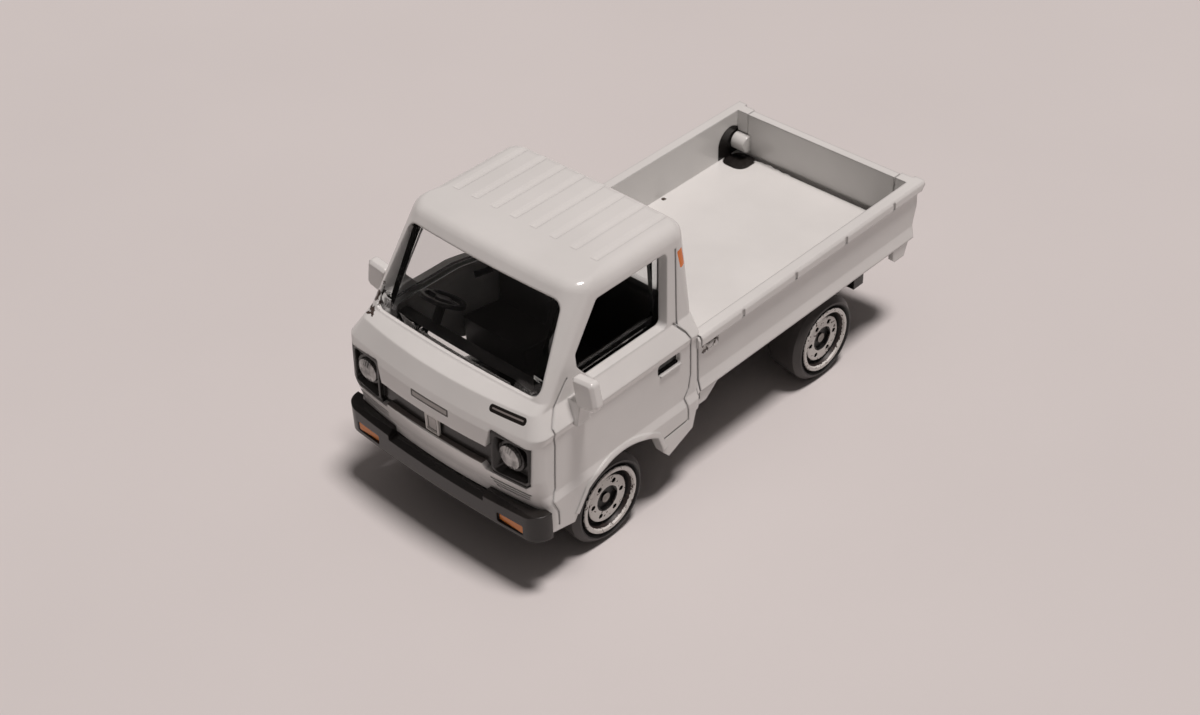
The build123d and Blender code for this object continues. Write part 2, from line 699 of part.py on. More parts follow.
# Base: bumper, lamp panel, plates, sump and axle carriers in one dark plastic moulding.
with BuildPart() as base:
    with BuildSketch(Plane.XY.offset(base_plate_z)):
        with Locations((0, (base_front_y + base_rear_y) / 2)):
            Rectangle(2 * base_half, base_rear_y - base_front_y)
    extrude(amount=base_plate)
    with BuildSketch(Plane.XY.offset(bumper_low_z + 0.1)):
        with Locations((0, cab_front_y + 2.6)):
            Rectangle(2 * half_width - 3.3, 3.8)
    extrude(amount=1.4)
    add(panel.part)
    add(bezels.part)
    add(strip_recess.part, mode=Mode.SUBTRACT)
    add(bumper.part)
    with BuildSketch(Plane.XY.offset(sump_low_z)):
        with Locations((0, (front_axle_y - 5.5 + rear_axle_y + 8) / 2)):
            Rectangle(2 * sump_half, rear_axle_y + 8 - front_axle_y + 5.5)
        for axle_y in (front_axle_y, rear_axle_y):
            with Locations((0, axle_y)):
                Rectangle(2 * carrier_half, carrier_width)
    extrude(amount=base_plate_z - sump_low_z)
    # Relief of the underside: engine and gearbox, propeller shaft, silencer and leaf springs
    with BuildSketch(Plane.XY.offset(sump_low_z)):
        with Locations((0, front_axle_y + 8)):
            Rectangle(5.2, 6)
        with Locations((0, rear_axle_y)):
            Rectangle(2.4, 2.6)
    extrude(amount=-0.5)
    with BuildSketch(Plane.XZ.offset(-rear_axle_y)):
        with Locations((0, sump_low_z)):
            Circle(0.45)
    extrude(amount=rear_axle_y - front_axle_y - 8)
    with BuildSketch(Plane.XZ.offset(-rear_axle_y + 5)):
        with Locations((-2.8, sump_low_z)):
            Circle(0.9)
    extrude(amount=5)
    for side in (-1, 1):
        with BuildSketch(Plane.YZ.offset(side * (sump_half + 1.2))):
            with BuildLine():
                Polyline(
                    (rear_axle_y - 5.5, base_plate_z + 0.2),
                    (rear_axle_y - 5.5, base_plate_z - 0.8),
                    (rear_axle_y, sump_low_z + 0.4),
                    (rear_axle_y + 5.5, base_plate_z - 0.8),
                    (rear_axle_y + 5.5, base_plate_z + 0.2),
                    (rear_axle_y + 4.5, base_plate_z + 0.2),
                    (rear_axle_y, sump_low_z + 1.5),
                    (rear_axle_y - 4.5, base_plate_z + 0.2),
                    close=True,
                )
            make_face()
        extrude(amount=side * 1.0)
    for axle_y in (front_axle_y, rear_axle_y):
        with BuildSketch(Plane.YZ.offset(-carrier_half - 1)):
            with Locations((axle_y, tyre_radius)):
                Circle(axle_radius + fit)
        extrude(amount=2 * carrier_half + 2, mode=Mode.SUBTRACT)
    # Upstands that close the bed's corner holes, with the plates that hold the gate's pins
    keeper = corner_keeper(fit, skirt_z - 0.9, floor_z - play)
    add(keeper)
    add(keeper.mirror(Plane.YZ))
    with BuildSketch(Plane.XZ.offset(-base_rear_y)):
        with BuildLine() as web:
            Polyline(
                (base_half - 0.5, base_plate_z),
                (base_half + 1, base_plate_z),
                (bed_inner_half - play, skirt_z - 0.8),
                (bed_inner_half - play, skirt_z + 0.2),
                (base_half - 0.5, skirt_z + 0.2),
                close=True,
            )
        make_face()
        mirror(about=Plane.YZ)
    extrude(amount=base_rear_y - hole_front_y - 0.2)
    for side in (-1, 1):
        with BuildSketch(Plane.YZ.offset(side * (bed_inner_half - fit - 0.3))):
            with Locations(((hole_front_y + post_front_y) / 2, skirt_z + 0.3)):
                Rectangle(0.8, 1.6)
        extrude(amount=side * (pocket_depth + 0.3))
        with BuildSketch(Plane.YZ.offset(side * (bed_inner_half + fit))):
            with Locations((pocket_y, hinge_z)):
                Circle(pocket_radius - fit)
            with Locations((pocket_y, (hinge_z + skirt_z - 0.6) / 2)):
                Rectangle(2 * (pocket_radius - fit), hinge_z - skirt_z + 0.6)
            with Locations((hinge_y, hinge_z)):
                Circle(pin_radius + fit, mode=Mode.SUBTRACT)
        extrude(amount=side * (pocket_depth - 2 * fit))
        # Stay of the mud flap behind the rear wheel
        with BuildSketch(Plane.XY.offset(base_plate_z + 0.6)):
            with Locations((side * (base_half + bed_inner_half - 0.4) / 2, rear_axle_y + 6.4)):
                Rectangle(bed_inner_half - base_half + 0.4, 1.6)
        extrude(amount=1.2)
        # Flared recess round each headlamp and the round barrel that holds its lens
        with BuildSketch(Plane.XZ.offset(-funnel_floor_y)):
            with Locations((side * (lens_x + 0.3), lens_z - 0.2)):
                RectangleRounded(funnel_width, funnel_height, 0.4)
        with BuildSketch(Plane.XZ.offset(-cab_front_y)):
            with Locations((side * (lens_x + 0.2), lens_z - 0.3)):
                RectangleRounded(funnel_width + 2 * funnel_flare, funnel_height + 2 * funnel_flare, 0.6)
        loft(mode=Mode.SUBTRACT)
        with BuildSketch(Plane.XZ.offset(-funnel_floor_y)):
            with Locations((side * lens_x, lens_z)):
                Circle(barrel_radius)
                Circle(lens_radius + fit, mode=Mode.SUBTRACT)
        extrude(amount=barrel_depth)
    # Rivet holes
    with BuildSketch(Plane.XY.offset(plate_top_z)):
        with Locations((0, rivet_rear_y), (0, rivet_front_y)):
            Circle(rivet_radius + fit)
    extrude(amount=-plate_top_z, mode=Mode.SUBTRACT)
base.part.label = "base"

# Headlamp lenses, low domes in their round barrels.
lamps = []
for hand, side in (("left", 1), ("right", -1)):
    with BuildPart() as lens:
        with BuildSketch(Plane.XZ.offset(-funnel_floor_y + fit)):
            with Locations((side * lens_x, lens_z)):
                Circle(lens_radius)
        extrude(amount=lens_depth)
        chamfer(lens.faces().sort_by(Axis.Y)[0].edges(), 0.25, 0.5)
    lens.part.label = "headlamp_" + hand
    lamps.append(lens.part)

# Black interior: floor, tunnel, dashboard, two seats and the steering column.
column = Plane(
    (steering_x, steering_y, steering_z),
    x_dir=(1, 0, 0),
    z_dir=Vector(0, 0, 1).rotate(Axis.X, -steering_tilt),
)
with BuildPart() as interior:
    with BuildSketch(Plane.XY.offset(plate_top_z + fit)):
        with Locations((0, (cab_front_y + cab_rear_y + 4) / 2)):
            Rectangle(2 * base_half - 0.2, cab_rear_y - cab_front_y - 6.8)
    extrude(amount=0.9)
    add(
        side_block(
            [
                (cab_front_y + 5.8, 8.4),
                (cab_front_y + 3.7, 11),
                (cab_front_y + 3.7, 17.2),
                (cab_front_y + 4.6, dash_top_z),
                (cab_front_y + 7.4, dash_top_z - 0.3),
                (cab_front_y + 8.0, 15.6),
                (cab_front_y + 6.6, 8.4),
            ],
            dash_half,
        )
    )
    add(side_block([(cab_front_y + 5.8, 8.5), (cab_front_y + 5.8, 11), (-14, 11), (-14, 8.5)], 2.6))
    for side in (-1, 1):
        with BuildSketch(Plane.YZ.offset(side * seat_x - seat_width / 2)):
            with BuildLine():
                Polyline(
                    (cab_rear_y - 9.3, 8.6),
                    (cab_rear_y - 9.6, 14.0),
                    (cab_rear_y - 4.8, 13.4),
                    (cab_rear_y - 3.2, 21.8),
                    (cab_rear_y - 1.9, 21.8),
                    (cab_rear_y - 2.0, 8.6),
                    close=True,
                )
            make_face()
            fillet(vertices().group_by(Axis.Y)[-1], 0.5)
        extrude(amount=seat_width)
    with BuildSketch(column.offset(-press_gap)):
        Circle(column_radius)
    extrude(amount=-column_length)
interior.part.label = "interior"

# Steering wheel: ring, two spokes and hub, set on the column.
with BuildPart() as steering:
    with BuildSketch(column):
        Circle(steering_radius)
        Circle(steering_radius - 0.4, mode=Mode.SUBTRACT)
        Rectangle(2 * steering_radius - 0.4, 0.5)
        Circle(2 * steering_thickness)
    extrude(amount=steering_thickness)
steering.part.label = "steering_wheel"

# Tailgate between the posts, with a lug and a pin at each lower corner.
with BuildPart() as gate:
    add(
        side_block(
            [
                (gate_inner_y, gate_low_z),
                (gate_inner_y + 0.3, gate_low_z),
                (gate_outer_y, gate_low_z + 0.65),
                (gate_outer_y, rail_z),
                (gate_inner_y, rail_z),
            ],
            post_inner_half - play,
        )
    )
    for side in (-1, 1):
        with BuildSketch(Plane.YZ.offset(side * (bed_inner_half - play))):
            with Locations((hinge_y, hinge_z)):
                Circle(lug_radius)
        extrude(amount=-side * lug_width)
        with BuildSketch(Plane.YZ.offset(side * (bed_inner_half - play))):
            with Locations((hinge_y, hinge_z)):
                Circle(pin_radius)
        extrude(amount=side * (play + pocket_depth - fit))
gate.part.label = "tailgate"


def make_wheel(name, side, axle_y):
    """One-piece plastic wheel turned about its axle: tyre, raised ring, dish and hub."""
    face = tyre_face_x
    bore = axle_radius + press_gap
    with BuildPart() as wheel:
        with BuildSketch(Plane.XY):
            with BuildLine():
                Polyline(
                    (tyre_rear_x, bore),
                    (tyre_rear_x, tyre_radius - 0.7),
                    (tyre_rear_x + 0.5, tyre_radius - 0.3),
                    (face - tread_width, tyre_radius),
                    (face - 0.6, tyre_radius),
                    (face, tyre_radius - 0.55),
                    (face, rim_radius + 0.45),
                    (face - 0.45, rim_radius + 0.15),
                    (face, rim_radius),
                    (face, rim_radius - 0.35),
                    (face - 0.9, rim_radius - 0.7),
                    (face - 0.45, dish_radius),
                    (face - 0.45, bore),
                    close=True,
                )
            make_face()
        revolve(axis=Axis.X)
        with BuildSketch(Plane.YZ.offset(face - 0.8)):
            RegularPolygon(hub_radius, 6)
        extrude(amount=1, mode=Mode.SUBTRACT)
        with BuildSketch(Plane.YZ.offset(face)):
            with PolarLocations((dish_radius + hub_radius) / 2, 6):
                RegularPolygon(wheel_hole_radius, 6)
        extrude(amount=-1.2, mode=Mode.SUBTRACT)
    placed = wheel.part if side > 0 else wheel.part.mirror(Plane.YZ)
    placed = Pos(0, axle_y, tyre_radius) * placed
    placed.label = name
    return placed


wheels = []
axles = []
for end, axle_y in (("front", front_axle_y), ("rear", rear_axle_y)):
    for hand, side in (("left", 1), ("right", -1)):
        wheels.append(make_wheel("wheel_" + end + "_" + hand, side, axle_y))
    with BuildPart() as axle:
        with BuildSketch(Plane.YZ.offset(-(tyre_face_x - 0.6))):
            with Locations((axle_y, tyre_radius)):
                Circle(axle_radius)
        extrude(amount=2 * (tyre_face_x - 0.6))
    axle.part.label = "axle_" + end
    axles.append(axle.part)

pieces = [body.part, windows.part, base.part, interior.part, steering.part, gate.part]
for piece in pieces + lamps + wheels + axles:
    export_step(piece, "parts/" + piece.label + ".step")
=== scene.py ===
import bpy
from math import cos, radians, sin
from mathutils import Matrix, Vector


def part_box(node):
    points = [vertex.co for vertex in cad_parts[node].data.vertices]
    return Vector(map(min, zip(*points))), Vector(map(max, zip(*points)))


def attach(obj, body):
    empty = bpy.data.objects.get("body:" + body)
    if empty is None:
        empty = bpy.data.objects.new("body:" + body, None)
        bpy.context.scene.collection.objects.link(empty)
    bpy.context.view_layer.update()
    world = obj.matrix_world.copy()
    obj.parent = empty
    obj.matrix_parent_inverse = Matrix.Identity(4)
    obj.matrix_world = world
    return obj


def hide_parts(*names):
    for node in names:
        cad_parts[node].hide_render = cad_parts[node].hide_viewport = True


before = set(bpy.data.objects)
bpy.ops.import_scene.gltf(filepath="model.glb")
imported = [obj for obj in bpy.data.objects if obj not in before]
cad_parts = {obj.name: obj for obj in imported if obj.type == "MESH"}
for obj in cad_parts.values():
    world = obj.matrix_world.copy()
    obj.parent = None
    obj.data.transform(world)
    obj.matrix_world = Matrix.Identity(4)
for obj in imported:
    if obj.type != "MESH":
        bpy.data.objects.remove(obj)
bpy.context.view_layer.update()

# Camera of the photo: ahead of the truck's left side and well above it, on a long lens.
# Metres, and the object's frame: +Z up, the truck's front towards -Y, its left at +X.
azimuth = 0.777314449
elevation = 0.662940738
roll = -0.0385833
place = Vector((0.102918, -0.111462, 0.123092))
back = Vector((sin(azimuth) * cos(elevation), -cos(azimuth) * cos(elevation), sin(elevation)))
level = Vector((cos(azimuth), sin(azimuth), 0))
across = level * cos(roll) + back.cross(level) * sin(roll)
upward = back.cross(level) * cos(roll) - level * sin(roll)
facing = Matrix((across, upward, back)).transposed().to_4x4()
bpy.ops.object.select_all(action="DESELECT")
bpy.ops.object.camera_add(location=place)
camera = bpy.context.object
camera.name = "photo_camera"
camera.matrix_world = Matrix.Translation(place) @ facing
camera.data.sensor_width = 36
camera.data.lens = 56.37
camera.data.clip_start = 0.001
camera.data.clip_end = 100
bpy.context.scene.camera = camera

# Body and tailgate: two zinc castings, each dipped in thick white enamel that rounds the edges
# and pools in the grooves, where shade is painted on. The markers and plain strips are pad printed,
# and the enamel has chips.
mm = 0.001
edge_radius = 0.26
groove_depth = 0.4
marker_size = (1.4, 0.76, 1.95)
marker_turn = (-10, 0, 0)
upright = (0, 0, 0)

# Each print or place of painted shade has a centre, a size, a corner radius, a turn and a colour
enamel_prints_and_painted_shade = (
    # Orange markers on the posts behind the doors
    ((11.1, -7.25, 25.87), marker_size, 0.16, marker_turn, "EC7800"),
    ((-11.1, -7.25, 25.87), marker_size, 0.16, marker_turn, "EC7800"),
    # Plain strip in the middle of the front, pale inside a dark rim
    ((0, -29.0, 16.42), (4.9, 1.2, 0.82), 0.12, upright, "3A3633"),
    ((0, -29.0, 16.42), (4.5, 1.2, 0.46), 0.06, upright, "A9A5A1"),
    # Plain strip under the windscreen, dark with a pale line
    ((8.75, -27.4, 18.85), (4.0, 2.4, 0.66), 0.3, upright, "24211F"),
    ((8.75, -27.4, 18.87), (3.4, 2.4, 0.14), 0.06, upright, "8E8784"),
    # Line of shade along the sill of the front opening
    ((0, -28.55, 12.85), (14.6, 0.95, 0.1), 0.04, upright, "827C78"),
    # Painted shade in the recesses of the two door handles
    ((11.8, -10.45, 16.08), (0.9, 2.95, 1.24), 0.2, upright, "0E0C0B"),
    ((-11.8, -10.45, 16.08), (0.9, 2.95, 1.24), 0.2, upright, "0E0C0B"),
    # Painted shade on the inner lip under the windscreen
    ((0, -24.75, 20.0), (14, 0.9, 0.8), 0.1, upright, "1A1512"),
)

# Each chip has a centre and a size
enamel_chips = (
    # Foot of the post at the windscreen's right end
    ((-10.6, -25.7, 20.5), (1.5, 1.6, 1.9)),
    ((-10.7, -24.9, 21.6), (0.9, 1.6, 1.8)),
    # Pit in the floor of the bed
    ((-10.8, 14.87, 11.8), (0.6, 0.5, 0.5)),
    # Front end of the bed's left side
    ((12.2, -4.4, 15.0), (0.7, 2.6, 0.75)),
    ((12.2, -5.2, 14.55), (0.7, 0.7, 0.6)),
)
chip_threshold = 0.53


def paint(code):
    """Linear colour for one written as six sRGB hex digits."""
    parts = [int(code[i:i + 2], 16) / 255 for i in (0, 2, 4)]
    return [p / 12.92 if p <= 0.04045 else ((p + 0.055) / 1.055) ** 2.4 for p in parts] + [1]


def new_material(name, colour, **sockets):
    """Material with its colour, and other values set on its own shader's sockets."""
    material = bpy.data.materials.new(name)
    material.use_nodes = True
    shader = material.node_tree.nodes["Principled BSDF"]
    shader.inputs["Base Color"].default_value = paint(colour)
    for socket, value in sockets.items():
        shader.inputs[socket.replace("_", " ")].default_value = value
    return material, shader


def add_node(material, kind, values=None, links=None, **settings):
    """Node with its settings, its sockets' values, and its links as socket: (node, output)."""
    node = material.node_tree.nodes.new(kind)
    for name, value in settings.items():
        setattr(node, name, value)
    for name, value in (values or {}).items():
        node.inputs[name].default_value = value
    for name, (source, output) in (links or {}).items():
        material.node_tree.links.new(source.outputs[output], node.inputs[name])
    return node


def feed(material, shader, socket, source, output=0):
    """Links a node's output to a socket of the shader."""
    material.node_tree.links.new(source.outputs[output], shader.inputs[socket])


def mottle(material, coords, size, first, second):
    """Colour that drifts between two shades in patches that many millimetres wide."""
    cloud = add_node(
        material,
        "ShaderNodeTexNoise",
        {"Scale": 1 / (size * mm), "Detail": 4},
        {"Vector": (coords, "Object")},
    )
    tone = add_node(material, "ShaderNodeValToRGB", links={"Fac": (cloud, 0)})
    tone.color_ramp.elements[0].position = 0.35
    tone.color_ramp.elements[0].color = paint(first)
    tone.color_ramp.elements[1].position = 0.65
    tone.color_ramp.elements[1].color = paint(second)
    return tone


def round_edges(material, shader, coords, radius, wave, depth):
    """Softens the edges to a radius, and waves the surface by a width and a depth."""
    rounded = add_node(material, "ShaderNodeBevel", {"Radius": radius * mm}, samples=6)
    waves = add_node(
        material,
        "ShaderNodeTexNoise",
        {"Scale": 1 / (wave * mm), "Detail": 3},
        {"Vector": (coords, "Object")},
    )
    bump = add_node(
        material,
        "ShaderNodeBump",
        {"Strength": 1, "Distance": depth * mm},
        {"Height": (waves, 0), "Normal": (rounded, 0)},
    )
    feed(material, shader, "Normal", bump)


def patch(material, coords, centre, size, corner, turn=(0, 0, 0)):
    """Mask that is 1 inside a box with rounded corners, in millimetres, turned in degrees."""
    moved = add_node(
        material,
        "ShaderNodeMapping",
        {"Location": [-c * mm for c in centre]},
        {"Vector": (coords, "Object")},
    )
    turned = add_node(
        material,
        "ShaderNodeMapping",
        {"Rotation": [radians(a) for a in turn]},
        {"Vector": (moved, 0)},
    )
    folded = add_node(
        material, "ShaderNodeVectorMath", links={0: (turned, 0)}, operation="ABSOLUTE"
    )
    inner = [max(s / 2 - corner, 0) * mm for s in size]
    past = add_node(
        material, "ShaderNodeVectorMath", {1: inner}, {0: (folded, 0)}, operation="SUBTRACT"
    )
    outside = add_node(
        material, "ShaderNodeVectorMath", {1: (0, 0, 0)}, {0: (past, 0)}, operation="MAXIMUM"
    )
    far = add_node(material, "ShaderNodeVectorMath", links={0: (outside, 0)}, operation="LENGTH")
    return add_node(
        material, "ShaderNodeMath", {1: corner * mm}, {0: (far, "Value")}, operation="LESS_THAN"
    )


def lay_over(material, under, mask, code, output=0):
    """Paint that covers the colour under it where the mask is 1. Its own output is number 2."""
    return add_node(
        material,
        "ShaderNodeMix",
        {7: paint(code)},
        {0: (mask, 0), 6: (under, output)},
        data_type="RGBA",
    )


def finish_node(name, material):
    """Gives a CAD node its material."""
    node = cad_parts[name]
    node.data.materials.clear()
    node.data.materials.append(material)


# Glossy enamel: bright, slightly uneven, with painted shade as dark lines in the grooves
enamel, shader = new_material("glossy_white_enamel", "E4E3E1", Roughness=0.15, IOR=1.5)
spots = add_node(enamel, "ShaderNodeTexCoord")
round_edges(enamel, shader, spots, radius=edge_radius, wave=2.4, depth=0.012)
layer = mottle(enamel, spots, 9, "E1E0DE", "E7E6E4")
# Painted shade: near black laid into the grooves and tight corners, where occlusion closes in
shade = add_node(
    enamel,
    "ShaderNodeAmbientOcclusion",
    {"Distance": groove_depth * mm},
    samples=8,
    only_local=True,
)
painted_groove_shade = add_node(
    enamel,
    "ShaderNodeMapRange",
    {"From Min": 0.2, "From Max": 0.47, "To Min": 0.75, "To Max": 0.0},
    {"Value": (shade, "AO")},
)
layer = lay_over(enamel, layer, painted_groove_shade, "5C5C66")
for centre, size, corner, turn, colour in enamel_prints_and_painted_shade:
    mask = patch(enamel, spots, centre, size, corner, turn)
    layer = lay_over(enamel, layer, mask, colour, 2)
crumbs = add_node(
    enamel,
    "ShaderNodeTexNoise",
    {"Scale": 1 / (0.55 * mm), "Detail": 5},
    {"Vector": (spots, "Object")},
)
torn = add_node(
    enamel, "ShaderNodeMath", {1: chip_threshold}, {0: (crumbs, 0)}, operation="GREATER_THAN"
)
for centre, size in enamel_chips:
    inside = patch(enamel, spots, centre, size, corner=0.3)
    mask = add_node(
        enamel, "ShaderNodeMath", links={0: (inside, 0), 1: (torn, 0)}, operation="MULTIPLY"
    )
    layer = lay_over(enamel, layer, mask, "4B403B", 2)
feed(enamel, shader, "Base Color", layer, 2)
for name in ("body", "tailgate"):
    finish_node(name, enamel)

# Base: one moulding of dark grey plastic, riveted under the body, with bumper, lamp bezels,
# grille strip and underbody. Its satin skin gives soft grey lights, and its grain is drawn
# coarser than it is. The two turn signals are painted in the bumper's dark recesses.
signal_x = 9.6
signal_y = -28.85
signal_z = 7.55
base_plastic, shader = new_material(
    "satin_dark_grey_plastic", "211E1D", Roughness=0.26, IOR=1.5
)
spots = add_node(base_plastic, "ShaderNodeTexCoord")
round_edges(base_plastic, shader, spots, radius=0.16, wave=0.9, depth=0.008)
layer = mottle(base_plastic, spots, 3, "201D1C", "272422")
output = 0
for side in (-1, 1):
    centre = (side * signal_x, signal_y, signal_z)
    recess = patch(base_plastic, spots, centre, (3.5, 0.7, 1.35), corner=0.1)
    layer = lay_over(base_plastic, layer, recess, "0D0C0C", output)
    output = 2
    signal = patch(base_plastic, spots, centre, (2.95, 0.3, 0.85), corner=0.08)
    layer = lay_over(base_plastic, layer, signal, "D98034", output)
feed(base_plastic, shader, "Base Color", layer, output)
finish_node("base", base_plastic)

# Interior: a black moulding of seats, floor and dashboard, and the steering wheel on its column.
# Its satin skin, with a moulded grain drawn a little coarse, stays nearly black in the cab.
cab_plastic, shader = new_material("satin_black_plastic", "191716", Roughness=0.42, IOR=1.5)
spots = add_node(cab_plastic, "ShaderNodeTexCoord")
round_edges(cab_plastic, shader, spots, radius=0.15, wave=0.35, depth=0.01)
layer = mottle(cab_plastic, spots, 2, "161413", "211E1C")
feed(cab_plastic, shader, "Base Color", layer)
for name in ("interior", "steering_wheel"):
    finish_node(name, cab_plastic)

# Window unit: one clear styrene moulding pushed up into the cab, windscreen, roof and rear.
# Polished in the mould, it shows only faint reflections, with patches of slight haze.
styrene, shader = new_material(
    "clear_styrene", "F4F5F5", Roughness=0.02, IOR=1.46, Transmission_Weight=1.0
)
spots = add_node(styrene, "ShaderNodeTexCoord")
ripple = add_node(
    styrene,
    "ShaderNodeTexNoise",
    {"Scale": 1 / (5 * mm), "Detail": 1},
    {"Vector": (spots, "Object")},
)
haze = add_node(
    styrene,
    "ShaderNodeMapRange",
    {"From Min": 0.3, "From Max": 0.7, "To Min": 0.0, "To Max": 0.04},
    {"Value": (ripple, 0)},
)
feed(styrene, shader, "Roughness", haze)

# Its sides stay open behind the doors, so the piece is a copy of the solid with them cut out
pane_depth = 1.3
glazing_low, glazing_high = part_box("window_unit")
side_low = Vector((glazing_low.x - mm, -24.5 * mm, 20.2 * mm))
side_high = Vector((glazing_high.x + mm, -9.9 * mm, 27.4 * mm))
bpy.ops.object.select_all(action="DESELECT")
glazing = bpy.data.objects.new("window_glazing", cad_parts["window_unit"].data.copy())
bpy.context.collection.objects.link(glazing)
bpy.context.view_layer.objects.active = glazing
glazing.select_set(True)
bpy.ops.object.mode_set(mode="EDIT")
bpy.ops.mesh.select_all(action="SELECT")
bpy.ops.mesh.remove_doubles(threshold=0.001 * mm)
bpy.ops.object.mode_set(mode="OBJECT")
for side in (-1, 1):
    outer = side * side_high.x
    inner = side * (glazing_high.x - pane_depth * mm)
    bpy.ops.object.select_all(action="DESELECT")
    bpy.ops.mesh.primitive_cube_add(
        size=1,
        location=(
            (outer + inner) / 2,
            (side_low.y + side_high.y) / 2,
            (side_low.z + side_high.z) / 2,
        ),
    )
    cutter = bpy.context.object
    cutter.scale = (
        abs(outer - inner),
        side_high.y - side_low.y,
        side_high.z - side_low.z,
    )
    bpy.ops.object.transform_apply(location=True, rotation=True, scale=True)
    bpy.context.view_layer.objects.active = glazing
    opening = glazing.modifiers.new("opening", "BOOLEAN")
    opening.object = cutter
    opening.operation = "DIFFERENCE"
    bpy.ops.object.modifier_apply(modifier="opening")
    bpy.data.objects.remove(cutter)
glazing.data.materials.clear()
glazing.data.materials.append(styrene)
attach(glazing, "root")
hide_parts("window_unit")

# Headlamps: clear mouldings pressed into silvered sockets of the bezels, so each reads as a
# pale silver disc, with the upright flutes that such a lens has.
flute_width = 0.28
flute_depth = 0.05

# A wave texture of scale 1 repeats this many times in a metre
wave_repeats = 3.2
lamp, shader = new_material(
    "silvered_clear_lens", "A9A8A6", Roughness=0.14, IOR=1.5, Metallic=0.55
)
spots = add_node(lamp, "ShaderNodeTexCoord")
flutes = add_node(
    lamp,
    "ShaderNodeTexWave",
    {"Scale": 1 / (flute_width * mm) / wave_repeats, "Distortion": 0},
    {"Vector": (spots, "Object")},
    bands_direction="X",
)
bump = add_node(
    lamp, "ShaderNodeBump", {"Strength": 0.5, "Distance": flute_depth * mm}, {"Height": (flutes, 0)}
)
feed(lamp, shader, "Normal", bump)
layer = mottle(lamp, spots, 0.9, "7F7E7D", "C4C3C1")
feed(lamp, shader, "Base Color", layer)
for side in ("left", "right"):
    finish_node("headlamp_" + side, lamp)

# Wheels: one-piece black plastic, tyre and hub together, with the whitewall ring and the hub
# face hot stamped white. The stamping has worn specks; the recesses, grooves and bore are painted
# shade.
axle_z = 4.7
face_x = 12.15
dish_drop = 0.5
hub_radius = 4.0
stamp_radius = 3.6
stamp_fray = 0.12
wear_threshold = 0.63

# Each zone starts at a radius and has its colour: bore, hub, groove, ring, groove and tyre.
# The bore and the two grooves are painted shade, darker than the tyre's own plastic.
zone_limit = 5
wheel_zones = (
    (0.0, "0E0D0D"),
    (1.36, "DAD7D3"),
    (2.56, "2F2624"),
    (3.06, "D8D5D1"),
    (3.52, "121111"),
    (4.06, "454241"),
)
for name, axle_y in (("front", -18.5), ("rear", 14.0)):
    rubber, shader = new_material(
        "satin_wheel_plastic_" + name, "454241", Roughness=0.48, IOR=1.5
    )
    spots = add_node(rubber, "ShaderNodeTexCoord")
    round_edges(rubber, shader, spots, radius=0.07, wave=0.6, depth=0.006)
    centred = add_node(
        rubber,
        "ShaderNodeMapping",
        {"Location": (0, -axle_y * mm, -axle_z * mm)},
        {"Vector": (spots, "Object")},
    )
    flat = add_node(
        rubber, "ShaderNodeVectorMath", {1: (0, 1, 1)}, {0: (centred, 0)}, operation="MULTIPLY"
    )
    radius = add_node(rubber, "ShaderNodeVectorMath", links={0: (flat, 0)}, operation="LENGTH")
    frayed = add_node(
        rubber,
        "ShaderNodeTexNoise",
        {"Scale": 1 / (0.3 * mm), "Detail": 4},
        {"Vector": (spots, "Object")},
    )
    wander = add_node(
        rubber,
        "ShaderNodeMath",
        {1: stamp_fray * mm, 2: -stamp_fray / 2 * mm},
        {0: (frayed, 0)},
        operation="MULTIPLY_ADD",
    )
    edge = add_node(
        rubber, "ShaderNodeMath", links={0: (radius, "Value"), 1: (wander, 0)}, operation="ADD"
    )
    share = add_node(
        rubber, "ShaderNodeMath", {1: zone_limit * mm}, {0: (edge, 0)}, operation="DIVIDE"
    )
    zones = add_node(rubber, "ShaderNodeValToRGB", links={"Fac": (share, 0)})
    ramp = zones.color_ramp
    ramp.interpolation = "CONSTANT"
    for number, (start, colour) in enumerate(wheel_zones):
        position = start / zone_limit
        stop = ramp.elements[number] if number < 2 else ramp.elements.new(position)
        stop.position = position
        stop.color = paint(colour)
    # Painted shade: the sunk face inside the hub radius is laid over near black
    split = add_node(rubber, "ShaderNodeSeparateXYZ", links={0: (spots, "Object")})
    out = add_node(rubber, "ShaderNodeMath", links={0: (split, 0)}, operation="ABSOLUTE")
    sunk = add_node(
        rubber,
        "ShaderNodeMath",
        {1: (face_x - dish_drop) * mm},
        {0: (out, 0)},
        operation="LESS_THAN",
    )
    hub = add_node(
        rubber,
        "ShaderNodeMath",
        {1: hub_radius * mm},
        {0: (radius, "Value")},
        operation="LESS_THAN",
    )
    painted_recess_shade = add_node(
        rubber, "ShaderNodeMath", links={0: (sunk, 0), 1: (hub, 0)}, operation="MULTIPLY"
    )
    layer = lay_over(rubber, zones, painted_recess_shade, "100F0F")
    specks = add_node(
        rubber,
        "ShaderNodeTexNoise",
        {"Scale": 1 / (0.35 * mm), "Detail": 6},
        {"Vector": (spots, "Object")},
    )
    worn = add_node(
        rubber, "ShaderNodeMath", {1: wear_threshold}, {0: (specks, 0)}, operation="GREATER_THAN"
    )
    stamped = add_node(
        rubber,
        "ShaderNodeMath",
        {1: stamp_radius * mm},
        {0: (radius, "Value")},
        operation="LESS_THAN",
    )
    mask = add_node(
        rubber, "ShaderNodeMath", links={0: (worn, 0), 1: (stamped, 0)}, operation="MULTIPLY"
    )
    layer = lay_over(rubber, layer, mask, "4A3F39", 2)
    feed(rubber, shader, "Base Color", layer, 2)
    for side in ("left", "right"):
        finish_node(f"wheel_{name}_{side}", rubber)

